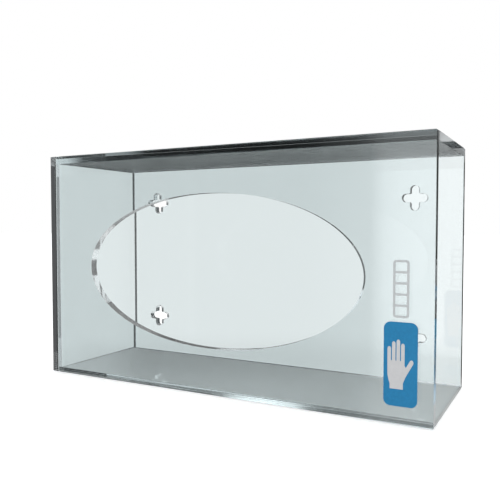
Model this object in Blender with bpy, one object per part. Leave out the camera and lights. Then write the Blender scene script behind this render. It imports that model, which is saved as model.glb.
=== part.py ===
"""Wall dispenser for a carton of disposable gloves, made of cemented clear acrylic sheets.

Five flat sheets form a box that is open at its +X end, where the carton slides in. Gloves are
pulled out through an oval hole in the front sheet. Four cross-shaped slots in the back sheet
hang the box on screws, and two thin labels sit on the front sheet beside the open end.

Metres, +Z up. The origin is at the middle of the footprint, the front faces -Y, and the wall
is on the +Y side.
"""

import math

import bmesh
import bpy
from mathutils import Matrix, Vector

# Driving dimensions.
LENGTH = 0.262          # closed end to open end, along X
DEPTH = 0.089           # front face to wall face, along Y
HEIGHT = 0.150          # along Z
SHEET = 0.005           # front, back, top and end sheets
BASE_SHEET = 0.0025     # the base is cut from thinner sheet
JOINT = 0.0003          # cement line between two sheets
ARRIS = 0.00015         # chamfer of a polished sheet edge
SHARP_ANGLE = math.radians(40)  # edges sharper than this stay crisp

# Oval hole for the gloves, centred in the box.
OVAL_WIDTH = 0.1888
OVAL_HEIGHT = 0.0936
OVAL_POINTS = 192

# Cross slots for the wall screws: one near each corner of the back sheet.
CROSS_SPAN = 0.016      # across two opposite arms
CROSS_ARM = 0.0054      # width of an arm, with a round end
CROSS_FILLET = 0.0008   # radius between two arms
CROSS_PITCH_X = 0.203
CROSS_PITCH_Z = 0.090
ARM_POINTS = 12
FILLET_POINTS = 4

# Labels on the front sheet: their distances are from the open end and from the base.
LABEL_SHEET = 0.0002
BADGE_WIDTH = 0.0174
BADGE_HEIGHT = 0.0436
BADGE_FROM_END = 0.0168
BADGE_FROM_BASE = 0.0094
BADGE_CORNER = 0.0035
GAUGE_WIDTH = 0.0082
GAUGE_HEIGHT = 0.0296
GAUGE_ABOVE_BADGE = 0.0022
GAUGE_STROKE = 0.0011
GAUGE_WINDOWS = 5
GAUGE_CORNER = 0.0016
CORNER_POINTS = 6

# Places that follow from the dimensions above.
X_CLOSED = -LENGTH / 2
X_OPEN = LENGTH / 2
X_INSIDE = X_CLOSED + SHEET + JOINT
Y_FRONT = -DEPTH / 2
Y_BACK = DEPTH / 2
Y_INSIDE_FRONT = Y_FRONT + SHEET + JOINT
Y_INSIDE_BACK = Y_BACK - SHEET - JOINT
BADGE_X = X_OPEN - BADGE_FROM_END

# Colours: base colour with alpha, roughness, share of light let through.
ACRYLIC = ((0.86, 0.93, 0.92, 0.35), 0.03, 0.9)
BADGE_BLUE = ((0.02, 0.22, 0.42, 1.0), 0.35, 0.0)
GAUGE_GREY = ((0.45, 0.46, 0.47, 1.0), 0.45, 0.0)


def clear_scene():
    """Remove every object that the file opened with."""
    for item in list(bpy.data.objects):
        bpy.data.objects.remove(item, do_unlink=True)


def make_material(name, look):
    """Principled material from a colour, a roughness and a transmission."""
    colour, roughness, transmission = look
    material = bpy.data.materials.new(name)
    material.use_nodes = True
    shader = material.node_tree.nodes["Principled BSDF"]
    shader.inputs["Base Color"].default_value = colour
    shader.inputs["Roughness"].default_value = roughness
    shader.inputs["Metallic"].default_value = 0.0
    shader.inputs["IOR"].default_value = 1.49
    shader.inputs["Transmission Weight"].default_value = transmission
    shader.inputs["Alpha"].default_value = colour[3]
    material.diffuse_color = colour
    return material


def link_mesh(name, mesh_builder, look=None):
    """Turn a bmesh into a named object, and give it a material of its own."""
    mesh = bpy.data.meshes.new(name)
    bmesh.ops.recalc_face_normals(mesh_builder, faces=mesh_builder.faces)
    mesh_builder.to_mesh(mesh)
    mesh_builder.free()
    item = bpy.data.objects.new(name, mesh)
    bpy.context.scene.collection.objects.link(item)
    if look:
        mesh.materials.append(make_material(name, look))
    return item


def add_prism(builder, outline, y_low, y_high):
    """Extrude an outline of (x, z) points along Y, from y_low to y_high."""
    near = [builder.verts.new((x, y_low, z)) for x, z in outline]
    far = [builder.verts.new((x, y_high, z)) for x, z in outline]
    builder.faces.new(near)
    builder.faces.new(reversed(far))
    for i in range(len(outline)):
        following = (i + 1) % len(outline)
        builder.faces.new((near[i], far[i], far[following], near[following]))


def sheet(name, low, high):
    """A flat rectangular acrylic sheet between two corners."""
    builder = bmesh.new()
    low, high = Vector(low), Vector(high)
    bmesh.ops.create_cube(builder, size=1.0, matrix=Matrix.Translation((low + high) / 2)
                          @ Matrix.Diagonal((high - low).to_4d()))
    return link_mesh(name, builder, ACRYLIC)


def cut_holes(item, outlines, y_centre):
    """Cut holes of the given outlines through a sheet or a film that lies at y_centre."""
    builder = bmesh.new()
    for outline in outlines:
        add_prism(builder, outline, y_centre - SHEET, y_centre + SHEET)
    tool = link_mesh(item.name + "_cutter", builder)
    tool.hide_render = True
    tool.display_type = "WIRE"
    modifier = item.modifiers.new("holes", "BOOLEAN")
    modifier.operation = "DIFFERENCE"
    modifier.solver = "EXACT"
    modifier.object = tool
    apply_modifiers(item)
    bpy.data.objects.remove(tool, do_unlink=True)


def chamfer(item):
    """Break the sharp edges of a sheet, as polishing does."""
    modifier = item.modifiers.new("arris", "BEVEL")
    modifier.width = ARRIS
    modifier.segments = 1
    modifier.limit_method = "ANGLE"
    modifier.angle_limit = SHARP_ANGLE
    modifier.use_clamp_overlap = True
    apply_modifiers(item)


def apply_modifiers(item):
    """Make the evaluated mesh the object's own, smooth round its curves and crisp at its edges."""
    bpy.context.view_layer.update()
    evaluated = item.evaluated_get(bpy.context.evaluated_depsgraph_get())
    mesh = bpy.data.meshes.new_from_object(evaluated)
    item.modifiers.clear()
    item.data = mesh
    mesh.shade_smooth()
    mesh.set_sharp_from_angle(angle=SHARP_ANGLE)


def arc(centre, radius, start, sweep, steps):
    """Points on a circular arc, both ends included, in the XZ plane."""
    angles = (start + sweep * i / steps for i in range(steps + 1))
    return [(centre[0] + radius * math.cos(a), centre[1] + radius * math.sin(a)) for a in angles]


def oval_outline():
    """The elliptical glove opening, centred in the box."""
    turns = (2 * math.pi * i / OVAL_POINTS for i in range(OVAL_POINTS))
    return [(OVAL_WIDTH / 2 * math.cos(t), HEIGHT / 2 + OVAL_HEIGHT / 2 * math.sin(t)) for t in turns]


def cross_outline(centre_x, centre_z):
    """A plus-shaped slot: four arms with round ends, and fillets between them."""
    half_arm = CROSS_ARM / 2
    reach = CROSS_SPAN / 2 - half_arm
    corner = half_arm + CROSS_FILLET
    quarter = math.pi / 2
    one_arm = arc((reach, 0), half_arm, -quarter, 2 * quarter, ARM_POINTS)
    one_arm += arc((corner, corner), CROSS_FILLET, 3 * quarter, -quarter, FILLET_POINTS)
    outline = []
    for turn in range(4):
        cosine, sine = round(math.cos(turn * quarter)), round(math.sin(turn * quarter))
        outline += [(centre_x + x * cosine - z * sine, centre_z + x * sine + z * cosine)
                    for x, z in one_arm]
    return outline


def round_rectangle(centre_x, low_z, width, height, radius):
    """A rectangle with four equal rounded corners."""
    outline = []
    for turn, (side_x, side_z) in enumerate(((1, 1), (-1, 1), (-1, -1), (1, -1))):
        centre = (centre_x + side_x * (width / 2 - radius),
                  low_z + height / 2 + side_z * (height / 2 - radius))
        outline += arc(centre, radius, turn * math.pi / 2, math.pi / 2, CORNER_POINTS)
    return outline


def film(name, outline, look):
    """Thin film on the front sheet's outer face."""
    builder = bmesh.new()
    add_prism(builder, outline, Y_FRONT - JOINT - LABEL_SHEET, Y_FRONT - JOINT)
    return link_mesh(name, builder, look)


def build_sheets():
    """The five acrylic sheets."""
    end = sheet("end_panel", (X_CLOSED, Y_FRONT, 0), (X_CLOSED + SHEET, Y_BACK, HEIGHT))
    front = sheet("front_panel", (X_INSIDE, Y_FRONT, 0), (X_OPEN, Y_FRONT + SHEET, HEIGHT))
    back = sheet("back_panel", (X_INSIDE, Y_BACK - SHEET, 0), (X_OPEN, Y_BACK, HEIGHT))
    top = sheet("top_panel", (X_INSIDE, Y_INSIDE_FRONT, HEIGHT - SHEET),
                (X_OPEN, Y_INSIDE_BACK, HEIGHT))
    base = sheet("base_panel", (X_INSIDE, Y_INSIDE_FRONT, 0), (X_OPEN, Y_INSIDE_BACK, BASE_SHEET))

    cut_holes(front, [oval_outline()], Y_FRONT + SHEET / 2)
    crosses = [cross_outline(side_x * CROSS_PITCH_X / 2, HEIGHT / 2 + side_z * CROSS_PITCH_Z / 2)
               for side_x in (-1, 1) for side_z in (-1, 1)]
    cut_holes(back, crosses, Y_BACK - SHEET / 2)

    for item in (end, front, back, top, base):
        chamfer(item)


def build_labels():
    """A blue badge low beside the open end, and a grey gauge of five windows above it."""
    badge = round_rectangle(BADGE_X, BADGE_FROM_BASE, BADGE_WIDTH, BADGE_HEIGHT, BADGE_CORNER)
    film("badge_label", badge, BADGE_BLUE)

    gauge_low = BADGE_FROM_BASE + BADGE_HEIGHT + GAUGE_ABOVE_BADGE
    frame = round_rectangle(BADGE_X, gauge_low, GAUGE_WIDTH, GAUGE_HEIGHT, GAUGE_CORNER)
    pitch = (GAUGE_HEIGHT - GAUGE_STROKE) / GAUGE_WINDOWS
    windows = [round_rectangle(BADGE_X, gauge_low + GAUGE_STROKE + i * pitch,
                               GAUGE_WIDTH - 2 * GAUGE_STROKE, pitch - GAUGE_STROKE,
                               GAUGE_CORNER - GAUGE_STROKE)
               for i in range(GAUGE_WINDOWS)]
    cut_holes(film("gauge_label", frame, GAUGE_GREY), windows, Y_FRONT)


clear_scene()
build_sheets()
build_labels()
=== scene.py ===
"""Looks, light and camera for the clear acrylic glove-carton dispenser.

Every sheet is rebuilt on its CAD solid with finer curves and rounded edges, because clear acrylic
shows every facet of its edges. The labels are bonded to the front sheet, so that they also show
inside it. Metres, +Z up, front towards -Y.
"""

import math

import bmesh
import bpy
from mathutils import Matrix, Vector


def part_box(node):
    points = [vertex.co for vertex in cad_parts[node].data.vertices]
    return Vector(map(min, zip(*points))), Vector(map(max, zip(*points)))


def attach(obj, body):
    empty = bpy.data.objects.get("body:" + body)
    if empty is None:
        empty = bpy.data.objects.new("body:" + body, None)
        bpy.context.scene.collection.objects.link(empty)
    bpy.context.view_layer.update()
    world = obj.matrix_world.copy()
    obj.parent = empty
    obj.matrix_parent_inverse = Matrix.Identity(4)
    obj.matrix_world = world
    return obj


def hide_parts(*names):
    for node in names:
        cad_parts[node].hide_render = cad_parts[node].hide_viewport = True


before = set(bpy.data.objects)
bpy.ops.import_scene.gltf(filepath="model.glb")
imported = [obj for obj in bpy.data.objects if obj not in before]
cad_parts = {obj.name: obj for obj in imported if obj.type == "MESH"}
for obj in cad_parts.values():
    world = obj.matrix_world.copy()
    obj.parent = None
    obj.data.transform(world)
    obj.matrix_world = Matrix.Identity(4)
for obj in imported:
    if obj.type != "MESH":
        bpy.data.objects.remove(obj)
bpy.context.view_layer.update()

X, Z = 0, 2
HALF_TURN = math.pi
QUARTER = math.pi / 2
FLAT = 0.99              # a face this square to an axis is one of the piece's flat faces

# Sheets.
ARRIS = 0.00008          # radius of a polished sheet edge
BACK_ARRIS = 0.00028     # the back sheet's edges are eased more
ARRIS_STEPS = 3
CEMENT = 0.00025         # how far the cement takes the top and base towards their neighbours
CORNER = 0.0004          # radius of the front and back sheets' corners
CORNER_STEPS = 4
SMALLEST_RADIUS = 0.00005

# Openings, as in the CAD.
OVAL_SIZE = (0.1888, 0.0936)
OVAL_STEPS = 384
PAINTED_HIGHLIGHT_BELOW_X = 0.004    # the oval's wall has a painted highlight, white mixed into the clear acrylic, on the closed side of this
CROSS_SPAN, CROSS_ARM, CROSS_FILLET = 0.016, 0.0054, 0.0008
CROSS_PITCH = (0.203, 0.090)
CROSS_ARM_STEPS, CROSS_FILLET_STEPS = 24, 6

# Labels.
BOND = 0.00003           # how far a label's back lies in the acrylic
LABEL_ARRIS = 0.00004
SYMBOL_PROUD = 0.00004   # white film over the blue
BADGE_CORNER, GAUGE_CORNER = 0.0035, 0.0016
GAUGE_STROKE, GAUGE_WINDOWS = 0.0011, 5
LABEL_CORNER_STEPS = 12

# The glove symbol, in units of its own that start at the wrist.
SYMBOL_UNITS = (0.00195, 0.00270)        # metres in a unit, along X and Z
WRIST, WRIST_TOP, THUMB_HEEL = 1.75, 1.0, 1.2
PALM = ((-2.05, 1.6), (-2.35, 2.6))
FINGER, GAP = 0.47, 0.13                 # half width of a finger, half the gap between two
FINGERTIPS = (8.1, 9.1, 9.5, 8.8)        # from the little finger to the index finger
VALLEY = 5.4                             # height of the valleys between two fingers
LITTLE_FINGER_SIDE = -2.4
INDEX_FOOT = 4.6
THUMB_LEAN = math.radians(38)
THUMB_ROOT = (-0.05, 2.9)                # from the index finger's outer side
THUMB, THUMB_LENGTH = 0.50, 3.0          # half width, and length to the centre of its tip
THUMB_CROOK, THUMB_BULGE, THUMB_BASE = 1.25, 0.55, -0.2
FINGERTIP_STEPS, VALLEY_STEPS = 12, 6

# Colours, linear. The films' backs are painted lighter than their fronts, as painted light: in the
# acrylic little light reaches them, and they would look nearly black.
ACRYLIC_TINT = (0.830, 0.864, 0.869, 1.0)
# Painted highlight: white mixed into the clear acrylic of the oval's wall, on its closed side.
PAINTED_HIGHLIGHT_WHITE = (0.95, 0.96, 0.96, 1.0)
BADGE_BLUE, PAINTED_LIGHT_BACK_BLUE = (0.010, 0.178, 0.372, 1.0), (0.05, 0.52, 0.90, 1.0)
GAUGE_GREY, PAINTED_LIGHT_BACK_GREY = (0.46, 0.48, 0.49, 1.0), (0.72, 0.74, 0.75, 1.0)
FILM_WHITE, PAINTED_LIGHT_BACK_WHITE = (0.52, 0.52, 0.53, 1.0), (0.90, 0.90, 0.91, 1.0)
ACRYLIC_IOR = 1.49
# How much of the oval's wall with the painted highlight stays clear.
PAINTED_HIGHLIGHT_TRANSMISSION = 0.78


# ---------------------------------------------------------------- outlines, in the XZ plane

def arc(centre, radius, start, sweep, steps):
    """Points on a circular arc, both ends included."""
    angles = (start + sweep * i / steps for i in range(steps + 1))
    return [(centre[0] + radius * math.cos(a), centre[1] + radius * math.sin(a)) for a in angles]


def rectangle(low, high, radius, steps):
    """Rectangle with rounded corners, as a function of how far it is grown."""
    def outline(grow):
        x_low, z_low, x_high, z_high = low[0] - grow, low[1] - grow, high[0] + grow, high[1] + grow
        r = max(radius + grow, SMALLEST_RADIUS)
        centres = ((x_high - r, z_high - r), (x_low + r, z_high - r),
                   (x_low + r, z_low + r), (x_high - r, z_low + r))
        points = []
        for turn, centre in enumerate(centres):
            points += arc(centre, r, turn * QUARTER, QUARTER, steps)
        return points
    return outline


def node_outline(node, radius, steps):
    """The outline of a CAD node's box, with rounded corners."""
    low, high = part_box(node)
    return rectangle((low.x, low.z), (high.x, high.z), radius, steps)


def oval(centre, size):
    """Ellipse, as a function of how far it is grown along its normals."""
    a, b = size[0] / 2, size[1] / 2

    def outline(grow):
        points = []
        for i in range(OVAL_STEPS):
            t = 2 * HALF_TURN * i / OVAL_STEPS
            normal = Vector((b * math.cos(t), a * math.sin(t))).normalized()
            points.append((centre[0] + a * math.cos(t) + grow * normal.x,
                           centre[1] + b * math.sin(t) + grow * normal.y))
        return points
    return outline


def cross(centre):
    """Plus-shaped slot: four arms with round ends, and fillets between them."""
    def outline(grow):
        reach = CROSS_SPAN / 2 - CROSS_ARM / 2
        corner = CROSS_ARM / 2 + CROSS_FILLET
        arm = arc((reach, 0), CROSS_ARM / 2 + grow, -QUARTER, 2 * QUARTER, CROSS_ARM_STEPS)
        arm += arc((corner, corner), CROSS_FILLET - grow, 3 * QUARTER, -QUARTER,
                   CROSS_FILLET_STEPS)
        points = []
        for turn in range(4):
            c, s = round(math.cos(turn * QUARTER)), round(math.sin(turn * QUARTER))
            points += [(centre[0] + x * c - z * s, centre[1] + x * s + z * c) for x, z in arm]
        return points
    return outline


def glove(centre):
    """A generic open glove: wrist, palm, four fingers and a thumb."""
    points = [(-WRIST, 0.0), (-WRIST, WRIST_TOP), *PALM, (LITTLE_FINGER_SIDE, VALLEY + GAP)]
    x = LITTLE_FINGER_SIDE + FINGER
    for tip in FINGERTIPS:
        points += arc((x, tip - FINGER), FINGER, HALF_TURN, -HALF_TURN, FINGERTIP_STEPS)
        if tip != FINGERTIPS[-1]:
            points += arc((x + FINGER + GAP, VALLEY + GAP), GAP, HALF_TURN, HALF_TURN,
                          VALLEY_STEPS)
            x += 2 * (FINGER + GAP)
    index_side = x + FINGER
    points.append((index_side, INDEX_FOOT))

    along = Vector((math.sin(THUMB_LEAN), math.cos(THUMB_LEAN)))
    across = Vector((along.y, -along.x))
    root = Vector((index_side + THUMB_ROOT[0], THUMB_ROOT[1]))
    points.append(tuple(root - across * THUMB + along * THUMB_CROOK))
    points += arc(tuple(root + along * THUMB_LENGTH), THUMB, math.atan2(-across.y, -across.x),
                  -HALF_TURN, FINGERTIP_STEPS)
    points += [tuple(root + across * THUMB_BULGE + along * THUMB_BASE), (WRIST, THUMB_HEEL),
               (WRIST, 0.0)]

    middle_x = (min(x for x, _ in points) + max(x for x, _ in points)) / 2
    middle_z = max(FINGERTIPS) / 2
    return [(centre[0] + (x - middle_x) * SYMBOL_UNITS[0],
             centre[1] + (z - middle_z) * SYMBOL_UNITS[1]) for x, z in points]


# ---------------------------------------------------------------- meshes

def finish_mesh(name, builder, node, materials):
    """Turn a bmesh into a visible piece that stands for a CAD node, if one is named."""
    bmesh.ops.recalc_face_normals(builder, faces=builder.faces)
    mesh = bpy.data.meshes.new(name)
    builder.to_mesh(mesh)
    builder.free()
    for material in materials:
        mesh.materials.append(material)
    piece = bpy.data.objects.new(name, mesh)
    bpy.context.scene.collection.objects.link(piece)
    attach(piece, "root")
    if node:
        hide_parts(node)
    return piece


def arris_profile(y_low, y_high, radius, steps):
    """(inset, y) from one flat face to the other, round both arrises."""
    turns = [QUARTER * i / steps for i in range(steps + 1)]
    near = [(radius * (1 - math.sin(t)), y_low + radius * (1 - math.cos(t))) for t in turns]
    return near + [(inset, y_low + y_high - y) for inset, y in reversed(near)]


def wall_material(centre_x, is_hole, materials):
    """Index of a wall's material: the edge's, or a third one, with a painted highlight, on the
    closed side of a hole.
    """
    if len(materials) > 2 and is_hole and centre_x < PAINTED_HIGHLIGHT_BELOW_X:
        return 2
    return 1


def plate(name, node, outer, holes, y_low, y_high, materials, arris=ARRIS, steps=ARRIS_STEPS):
    """A flat sheet that lies across Y, with holes, rounded arrises and smooth curved walls."""
    builder = bmesh.new()
    profile = arris_profile(y_low, y_high, arris, steps)
    caps = ([], [])
    sharp = []
    for outline, is_hole in [(outer, False)] + [(hole, True) for hole in holes]:
        side = 1 if is_hole else -1
        rings = [[builder.verts.new((x, y, z)) for x, z in outline(side * inset)]
                 for inset, y in profile]
        count = len(rings[0])
        for level in range(len(rings) - 1):
            for i in range(count):
                j = (i + 1) % count
                face = builder.faces.new((rings[level][i], rings[level][j],
                                          rings[level + 1][j], rings[level + 1][i]))
                face.material_index = wall_material(face.calc_center_median().x, is_hole, materials)
                face.smooth = is_hole
        for level in (0, steps, steps + 1, len(rings) - 1):
            sharp += [builder.edges.get((rings[level][i], rings[level][(i + 1) % count]))
                      for i in range(count)]
        for cap, ring in zip(caps, (rings[0], rings[-1])):
            cap += [builder.edges.get((ring[i], ring[(i + 1) % count])) for i in range(count)]
    for cap, side in zip(caps, (-1, 1)):
        bmesh.ops.triangle_fill(builder, use_beauty=True, use_dissolve=False, edges=cap,
                                normal=(0, side, 0))
    for edge in sharp:
        edge.smooth = False
    return finish_mesh(name, builder, node, materials)


def block(name, node, face_axis, materials):
    """A rectangular sheet with rounded arrises. Its two large faces look along face_axis."""
    low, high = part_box(node)
    if face_axis == Z:
        low, high = low - Vector((CEMENT, CEMENT, 0)), high + Vector((0, CEMENT, 0))
    builder = bmesh.new()
    bmesh.ops.create_cube(builder, size=1.0, matrix=Matrix.Translation((low + high) / 2)
                          @ Matrix.Diagonal((high - low).to_4d()))
    bmesh.ops.bevel(builder, geom=list(builder.edges), offset=ARRIS, offset_type="OFFSET",
                    segments=ARRIS_STEPS, profile=0.5, affect="EDGES", clamp_overlap=True)
    builder.normal_update()
    for face in builder.faces:
        face.material_index = 0 if abs(face.normal[face_axis]) > FLAT else 1
    return finish_mesh(name, builder, node, materials)


def film(name, node, outline, y_low, y_high, materials):
    """A single flat outline, extruded along Y."""
    builder = bmesh.new()
    near = [builder.verts.new((x, y_low, z)) for x, z in outline]
    far = [builder.verts.new((x, y_high, z)) for x, z in outline]
    builder.faces.new(near)
    builder.faces.new(reversed(far))
    for i in range(len(outline)):
        j = (i + 1) % len(outline)
        builder.faces.new((near[i], far[i], far[j], near[j]))
    return finish_mesh(name, builder, node, materials)


def mark_back(piece):
    """Give a label's back, in the acrylic, the piece's second material, and only its back, whose
    lighter colour is painted light.
    """
    for face in piece.data.polygons:
        face.material_index = 1 if face.normal.y > FLAT else 0


# ---------------------------------------------------------------- materials

def new_material(name):
    """A material, its node tree and its shader."""
    material = bpy.data.materials.new(name)
    material.use_nodes = True
    tree = material.node_tree
    return material, tree, tree.nodes["Principled BSDF"]


def object_coordinates(tree, stretch=(1, 1, 1)):
    """Coordinates in the part's own frame, multiplied by stretch along each axis."""
    source = tree.nodes.new("ShaderNodeTexCoord")
    mapping = tree.nodes.new("ShaderNodeMapping")
    mapping.inputs["Scale"].default_value = stretch
    tree.links.new(source.outputs["Object"], mapping.inputs["Vector"])
    return mapping.outputs["Vector"]


def noise(tree, vector, scale, detail):
    """Noise from 0 to 1, with about scale bumps in a metre."""
    node = tree.nodes.new("ShaderNodeTexNoise")
    node.inputs["Scale"].default_value = scale
    node.inputs["Detail"].default_value = detail
    tree.links.new(vector, node.inputs["Vector"])
    return node.outputs["Fac"]


def map_range(tree, value, source, target, smooth=False):
    """Value brought from the source span to the target span, and kept inside it."""
    node = tree.nodes.new("ShaderNodeMapRange")
    node.interpolation_type = "SMOOTHSTEP" if smooth else "LINEAR"
    tree.links.new(value, node.inputs["Value"])
    for name, number in zip(("From Min", "From Max", "To Min", "To Max"), source + target):
        node.inputs[name].default_value = number
    return node.outputs["Result"]


def bump(tree, shader, height, distance):
    """Relief from a height that goes from 0 to 1 over distance."""
    node = tree.nodes.new("ShaderNodeBump")
    node.inputs["Strength"].default_value = 1.0
    node.inputs["Distance"].default_value = distance
    tree.links.new(height, node.inputs["Height"])
    tree.links.new(node.outputs["Normal"], shader.inputs["Normal"])


def set_clear(shader, colour=ACRYLIC_TINT, transmission=1.0):
    """Make a shader clear acrylic."""
    shader.inputs["Base Color"].default_value = colour
    shader.inputs["IOR"].default_value = ACRYLIC_IOR
    shader.inputs["Transmission Weight"].default_value = transmission


def acrylic_face(name):
    """Polished face: faint handling haze."""
    material, tree, shader = new_material(name)
    set_clear(shader)
    haze = noise(tree, object_coordinates(tree), scale=45.0, detail=4.0)
    rough = map_range(tree, haze, source=(0.50, 0.80), target=(0.0, 0.003), smooth=True)
    tree.links.new(rough, shader.inputs["Roughness"])
    return material


def acrylic_edge(name, along):
    """Diamond-polished edge: very fine tool marks across its run, which is along this axis."""
    material, tree, shader = new_material(name)
    set_clear(shader)
    stretch = [1.0, 1.0, 1.0]
    stretch[along] = 9.0
    marks = noise(tree, object_coordinates(tree, stretch), scale=260.0, detail=3.0)
    rough = map_range(tree, marks, source=(0.45, 0.75), target=(0.0, 0.0015), smooth=True)
    tree.links.new(rough, shader.inputs["Roughness"])
    bump(tree, shader, marks, distance=0.0000002)
    return material


def painted_highlight_wall(name):
    """Routed and flame-polished wall: clear and slightly rough, with white mixed in as a painted
    highlight.
    """
    material, tree, shader = new_material(name)
    # The white base and the lower transmission paint the wall's highlight.
    set_clear(shader, PAINTED_HIGHLIGHT_WHITE, PAINTED_HIGHLIGHT_TRANSMISSION)
    marks = noise(tree, object_coordinates(tree, (1, 5, 1)), scale=260.0, detail=3.0)
    rough = map_range(tree, marks, source=(0.3, 0.75), target=(0.02, 0.07), smooth=True)
    tree.links.new(rough, shader.inputs["Roughness"])
    return material


def printed_film(name, colour, grain):
    """Printed vinyl: slight mottle in the ink, by the share grain, and fine orange peel."""
    material, tree, shader = new_material(name)
    vector = object_coordinates(tree)
    mottle = noise(tree, vector, scale=900.0, detail=3.0)
    ink = tree.nodes.new("ShaderNodeValToRGB")
    for stop, place, change in zip(ink.color_ramp.elements, (0.35, 0.65), (1 - grain, 1 + grain)):
        stop.position = place
        stop.color = tuple(min(c * change, 1.0) for c in colour[:3]) + (1.0,)
    tree.links.new(mottle, ink.inputs["Fac"])
    tree.links.new(ink.outputs["Color"], shader.inputs["Base Color"])
    peel = noise(tree, vector, scale=2600.0, detail=2.0)
    rough = map_range(tree, peel, source=(0.3, 0.7), target=(0.30, 0.42))
    tree.links.new(rough, shader.inputs["Roughness"])
    bump(tree, shader, peel, distance=0.000003)
    shader.inputs["Specular IOR Level"].default_value = 0.25
    return material


def film_pair(name, front, back, grain):
    """Materials for a label's front and for its back, whose lighter colour is painted light."""
    return [printed_film(name, front, grain), printed_film(name + "_back", back, grain)]


# ---------------------------------------------------------------- the object

def build_sheets():
    """The five acrylic sheets, each in place of its CAD node."""
    low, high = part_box("front_panel")
    middle_z = (low.z + high.z) / 2
    front = plate("front_panel_polished", "front_panel",
                  node_outline("front_panel", CORNER, CORNER_STEPS),
                  [oval((0.0, middle_z), OVAL_SIZE)], low.y, high.y,
                  [acrylic_face("front_face"), acrylic_edge("front_edge", Z),
                   painted_highlight_wall("oval_edge")])

    low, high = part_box("back_panel")
    slots = [cross((side_x * CROSS_PITCH[0] / 2, middle_z + side_z * CROSS_PITCH[1] / 2))
             for side_x in (-1, 1) for side_z in (-1, 1)]
    back = plate("back_panel_polished", "back_panel",
                 node_outline("back_panel", CORNER, CORNER_STEPS), slots, low.y, high.y,
                 [acrylic_face("back_face"), acrylic_edge("back_edge", Z)], arris=BACK_ARRIS)

    for node, face_axis, edge_run in (("top_panel", Z, X), ("base_panel", Z, X),
                                      ("end_panel", X, Z)):
        short = node.split("_")[0]
        piece = block(node + "_polished", node, face_axis,
                      [acrylic_face(short + "_face"), acrylic_edge(short + "_edge", edge_run)])


def build_labels():
    """The blue badge with its white symbol, and the grey gauge above it."""
    y_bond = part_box("front_panel")[0].y + BOND
    # The backs' lighter colours are painted light, standing in for the light that hardly reaches
    # them in the acrylic.
    blue = film_pair("badge_blue", BADGE_BLUE, PAINTED_LIGHT_BACK_BLUE, grain=0.05)
    white = film_pair("symbol_white", FILM_WHITE, PAINTED_LIGHT_BACK_WHITE, grain=0.02)
    grey = film_pair("gauge_grey", GAUGE_GREY, PAINTED_LIGHT_BACK_GREY, grain=0.05)

    low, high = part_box("badge_label")
    badge = plate("badge_label_bonded", "badge_label",
                  node_outline("badge_label", BADGE_CORNER, LABEL_CORNER_STEPS), [], low.y, y_bond,
                  blue, arris=LABEL_ARRIS, steps=1)
    mark_back(badge)
    symbol = film("badge_symbol", None, glove(((low.x + high.x) / 2, (low.z + high.z) / 2)),
                  low.y - SYMBOL_PROUD, y_bond + BOND, white)
    mark_back(symbol)

    low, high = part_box("gauge_label")
    pitch = (high.z - low.z - GAUGE_STROKE) / GAUGE_WINDOWS
    windows = [rectangle((low.x + GAUGE_STROKE, low.z + GAUGE_STROKE + i * pitch),
                         (high.x - GAUGE_STROKE, low.z + (i + 1) * pitch),
                         GAUGE_CORNER - GAUGE_STROKE, LABEL_CORNER_STEPS)
               for i in range(GAUGE_WINDOWS)]
    gauge = plate("gauge_label_bonded", "gauge_label",
                  node_outline("gauge_label", GAUGE_CORNER, LABEL_CORNER_STEPS), windows,
                  low.y, y_bond, grey, arris=LABEL_ARRIS, steps=1)
    mark_back(gauge)


# ---------------------------------------------------------------- studio

# The light from each side, as (azimuth, level) stops. Azimuths are in degrees, from the wall side
# (+Y) towards the open end (+X). Heights are the upward part of a ray's direction.
#
# Light that the acrylic reflected once, for low rays and for higher ones.
REFLECTED_LOW = (
    (-180, 1.80), (-168, 1.90), (-165, 1.75), (-163.4, 0.40), (-156, 0.04), (-100, 0.04),
    (-20, 0.0), (-8, 0.02), (2, 0.06), (14, 0.14), (30, 0.42), (35.5, 0.42), (37, 0.14),
    (39.7, 0.14), (40.2, 0.42), (60, 0.40), (110, 0.60), (135, 0.95), (180, 1.80))
REFLECTED_HIGH = (
    (-180, 1.00), (-165, 0.95), (-162, 0.30), (-156, 0.04), (-60, 0.50), (-43, 0.42), (-38, 0.0),
    (-8, 0.0), (14, 0.14), (30, 0.42), (60, 0.40), (110, 0.60), (135, 0.80), (180, 1.00))
REFLECTED_RISE = (0.10, 0.14)            # heights from the low levels to the high ones
# Light that it reflected twice.
TWICE = (
    (-180, 0.60), (-165, 0.60), (-160, 0.04), (-60, 0.45), (-39.8, 0.45), (-38.6, 0.0),
    (-20, 0.0), (-12, 0.14), (-6, 0.20), (20, 0.04), (43.4, 0.04), (44.6, 1.10), (60, 0.80),
    (110, 0.60), (135, 0.80), (180, 0.60))
# Light that was trapped in a sheet, reflected three times or more, and left by an edge.
TRAPPED_LOW = (
    (-180, 0.50), (-155, 0.13), (-130, 0.13), (-110, 0.25), (-75, 0.12), (-60, 0.13),
    (-46.5, 0.14), (-44.5, 0.03), (-10, 0.10), (20, 0.06), (60, 0.06), (100, 0.50), (180, 0.50))
TRAPPED_HIGH = (
    (-180, 0.60), (-150, 1.10), (-110, 0.90), (-60, 1.30), (-43, 1.30), (-34, 1.10), (-26, 0.45),
    (-8, 0.30), (5, 0.10), (55, 0.05), (90, 0.40), (135, 0.50), (180, 0.60))
TRAPPED_STEEP = (
    (-180, 0.60), (-150, 1.10), (-110, 0.90), (-62, 1.10), (-42, 1.15), (-39, 0.14),
    (-31.5, 0.14), (-29.5, 1.60), (-27, 2.20), (-24, 1.60), (-22, 0.25), (-20, 0.20), (-8, 0.18),
    (5, 0.10), (55, 0.05), (90, 0.40), (135, 0.50), (180, 0.60))
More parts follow.
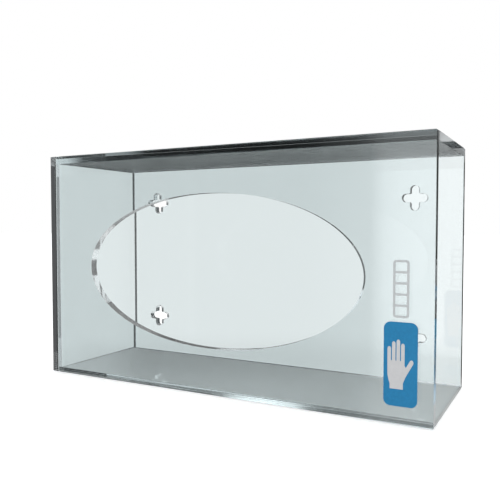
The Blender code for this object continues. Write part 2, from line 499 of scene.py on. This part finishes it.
TRAPPED_RISE, STEEP_RISE = (0.02, 0.10), (0.24, 0.27)
# What the top sheet's end face reflects at the open end, as (height, level) stops.
TOP_END = (
    (0.0, 0.06), (0.095, 0.10), (0.104, 0.50), (0.1192, 0.50), (0.1204, 0.0), (0.1302, 0.0),
    (0.1316, 1.22), (0.20, 1.22), (0.25, 0.20))
TOP_END_HEIGHTS = (0.0, 0.30)
TOP_END_SIDES = (6, 6.5), (10.6, 10.9)
# Light that was reflected six times or more is dim at the left.
PIPED = (0.115, 0.115, 0.118, 1.0)
PIPED_SIDES = (-68, -64), (-38, -34)
# Reflected light from above and below.
OVERHEAD = (0.9, 0.9, 0.9, 1.0)
OVERHEAD_RISE = (0.36, 0.50)
BELOW = (
    (-180, 1.15), (-165, 1.15), (-161, 0.10), (-110, 0.10), (-62, 0.10), (-48, 0.15),
    (-43, 1.20), (18, 1.20), (28, 0.10), (80, 0.10), (120, 0.80), (180, 1.15))
BELOW_FALL = (-0.22, -0.27)
# Light that only passed through sheets: left, right and below.
THROUGH_LEFT, THROUGH_RIGHT = (0.945, 0.99, 0.99, 1.0), (1.02, 1.04, 1.04, 1.0)
THROUGH_BELOW = (0.85, 0.89, 0.89, 1.0)
RIGHT_SIDES = (-20.05, -6.88), (68.75, 148.97)
THROUGH_FALL = (-0.17, -0.22)

FULL_TURN = (-180, 180)
STUDIO_TINT = (0.97, 1.0, 1.01)
WHITE = (1.0, 1.0, 1.0, 1.0)

FLOOR_HALF_SIZE, FLOOR_LEVEL = 6.0, -0.0006
FLOOR_COLOUR, FLOOR_GLOW = (0.86, 0.87, 0.87, 1.0), 0.42

CAMERA_PLACE = (0.1901, -0.3500, 0.1024)
CAMERA_TURN = (math.radians(87.66), 0.0, math.radians(28.14))
CAMERA_LENS = 43.23      # millimetres, on a sensor 36 mm wide
NEAREST = 0.01


def ramp(tree, value, stops, span=FULL_TURN):
    """Grey levels along a span, which value crosses from 0 to 1. Stops are (place, level)."""
    node = tree.nodes.new("ShaderNodeValToRGB")
    node.color_ramp.interpolation = "EASE"
    elements = node.color_ramp.elements
    while len(elements) < len(stops):
        elements.new(0.5)
    for element, (place, level) in zip(elements, stops):
        element.position = (place - span[0]) / (span[1] - span[0])
        element.color = tuple(level * tint for tint in STUDIO_TINT) + (1.0,)
    tree.links.new(value, node.inputs["Fac"])
    return node.outputs["Color"]


def calculate(tree, operation, *values):
    """The result of one Math node. The values are numbers or sockets."""
    node = tree.nodes.new("ShaderNodeMath")
    node.operation = operation
    for socket, value in zip(node.inputs, values):
        if isinstance(value, (int, float)):
            socket.default_value = value
        else:
            tree.links.new(value, socket)
    return node.outputs[0]


def at_least(tree, depth, count):
    """1 where a ray's depth is count or more, else 0."""
    return calculate(tree, "GREATER_THAN", depth, count - 0.5)


def step(tree, value, span):
    """A smooth step from 0 to 1 over a span."""
    return map_range(tree, value, span, (0.0, 1.0), smooth=True)


def between(tree, azimuth, sides):
    """1 between two sides, 0 outside them. Each side is a span of degrees."""
    rise, fall = (tuple(map(math.radians, side)) for side in sides)
    return calculate(tree, "MULTIPLY", step(tree, azimuth, rise),
                     map_range(tree, azimuth, fall, (1.0, 0.0), smooth=True))


def choose(tree, factor, first, second):
    """first where factor is 0, second where it is 1. They are colours or sockets."""
    node = tree.nodes.new("ShaderNodeMix")
    node.data_type = "RGBA"
    tree.links.new(factor, node.inputs[0])
    for socket, value in ((node.inputs[6], first), (node.inputs[7], second)):
        if isinstance(value, tuple):
            socket.default_value = value
        else:
            tree.links.new(value, socket)
    return node.outputs[2]


def build_world():
    """Soft white studio. What the acrylic reflects is darker at the back left, and it depends on
    how often the light was reflected, so that edges differ from faces."""
    world = bpy.data.worlds.new("studio")
    bpy.context.scene.world = world
    world.use_nodes = True
    tree = world.node_tree
    coordinates = tree.nodes.new("ShaderNodeTexCoord")
    split = tree.nodes.new("ShaderNodeSeparateXYZ")
    tree.links.new(coordinates.outputs["Generated"], split.inputs["Vector"])
    height = split.outputs["Z"]
    azimuth = calculate(tree, "ARCTAN2", split.outputs["X"], split.outputs["Y"])
    turn = map_range(tree, azimuth, (-math.pi, math.pi), (0.0, 1.0))
    path = tree.nodes.new("ShaderNodeLightPath")
    reflections = path.outputs["Glossy Depth"]

    through = choose(tree, between(tree, azimuth, RIGHT_SIDES), THROUGH_LEFT, THROUGH_RIGHT)
    through = choose(tree, step(tree, height, THROUGH_FALL), through, THROUGH_BELOW)

    once = choose(tree, step(tree, height, REFLECTED_RISE),
                  ramp(tree, turn, REFLECTED_LOW), ramp(tree, turn, REFLECTED_HIGH))
    top_end = ramp(tree, map_range(tree, height, TOP_END_HEIGHTS, (0.0, 1.0)), TOP_END,
                   TOP_END_HEIGHTS)
    once = choose(tree, between(tree, azimuth, TOP_END_SIDES), once, top_end)

    trapped = choose(tree, step(tree, height, TRAPPED_RISE),
                     ramp(tree, turn, TRAPPED_LOW), ramp(tree, turn, TRAPPED_HIGH))
    trapped = choose(tree, step(tree, height, STEEP_RISE), trapped,
                     ramp(tree, turn, TRAPPED_STEEP))
    piped = calculate(tree, "MULTIPLY", at_least(tree, reflections, 6),
                      between(tree, azimuth, PIPED_SIDES))
    trapped = choose(tree, piped, trapped, PIPED)

    reflected = choose(tree, at_least(tree, reflections, 2), once, ramp(tree, turn, TWICE))
    reflected = choose(tree, at_least(tree, reflections, 3), reflected, trapped)
    reflected = choose(tree, step(tree, height, OVERHEAD_RISE), reflected, OVERHEAD)
    reflected = choose(tree, step(tree, height, BELOW_FALL), reflected, ramp(tree, turn, BELOW))

    seen = choose(tree, at_least(tree, reflections, 1), through, reflected)
    plain = calculate(tree, "MAXIMUM", path.outputs["Is Camera Ray"],
                      at_least(tree, path.outputs["Diffuse Depth"], 1))
    tree.links.new(choose(tree, plain, seen, WHITE), tree.nodes["Background"].inputs["Color"])


def build_floor():
    """Pale floor, seen directly. Light that has met the acrylic sees the studio instead."""
    mesh = bpy.data.meshes.new("floor")
    size, level = FLOOR_HALF_SIZE, FLOOR_LEVEL
    mesh.from_pydata([(-size, -size, level), (size, -size, level), (size, size, level),
                      (-size, size, level)], [], [(0, 1, 2, 3)])
    floor = bpy.data.objects.new("floor", mesh)
    bpy.context.scene.collection.objects.link(floor)

    material, tree, shader = new_material("floor_paper")
    shader.inputs["Base Color"].default_value = FLOOR_COLOUR
    shader.inputs["Roughness"].default_value = 1.0
    shader.inputs["Specular IOR Level"].default_value = 0.0
    shader.inputs["Emission Color"].default_value = WHITE
    shader.inputs["Emission Strength"].default_value = FLOOR_GLOW
    path = tree.nodes.new("ShaderNodeLightPath")
    met = calculate(tree, "ADD", path.outputs["Glossy Depth"], path.outputs["Transmission Depth"])
    passing = tree.nodes.new("ShaderNodeBsdfTransparent")
    mix = tree.nodes.new("ShaderNodeMixShader")
    tree.links.new(at_least(tree, met, 1), mix.inputs[0])
    tree.links.new(shader.outputs[0], mix.inputs[1])
    tree.links.new(passing.outputs[0], mix.inputs[2])
    tree.links.new(mix.outputs[0], tree.nodes["Material Output"].inputs["Surface"])
    mesh.materials.append(material)


def build_camera():
    """Camera at the right of the front, a little above the middle of the box."""
    data = bpy.data.cameras.new("camera")
    data.lens = CAMERA_LENS
    data.sensor_width = 36.0
    data.clip_start = NEAREST
    data.dof.use_dof = False
    camera = bpy.data.objects.new("camera", data)
    camera.location = CAMERA_PLACE
    camera.rotation_euler = CAMERA_TURN
    bpy.context.scene.collection.objects.link(camera)
    bpy.context.scene.camera = camera


def set_light_paths():
    """Clear sheets one behind the other need many bounces, and plain white stays white."""
    scene = bpy.context.scene
    scene.view_settings.view_transform = "Standard"
    scene.cycles.max_bounces = 24
    scene.cycles.glossy_bounces = 16
    scene.cycles.transmission_bounces = 24
    scene.cycles.transparent_max_bounces = 16


build_sheets()
build_labels()
build_world()
build_floor()
build_camera()
set_light_paths()
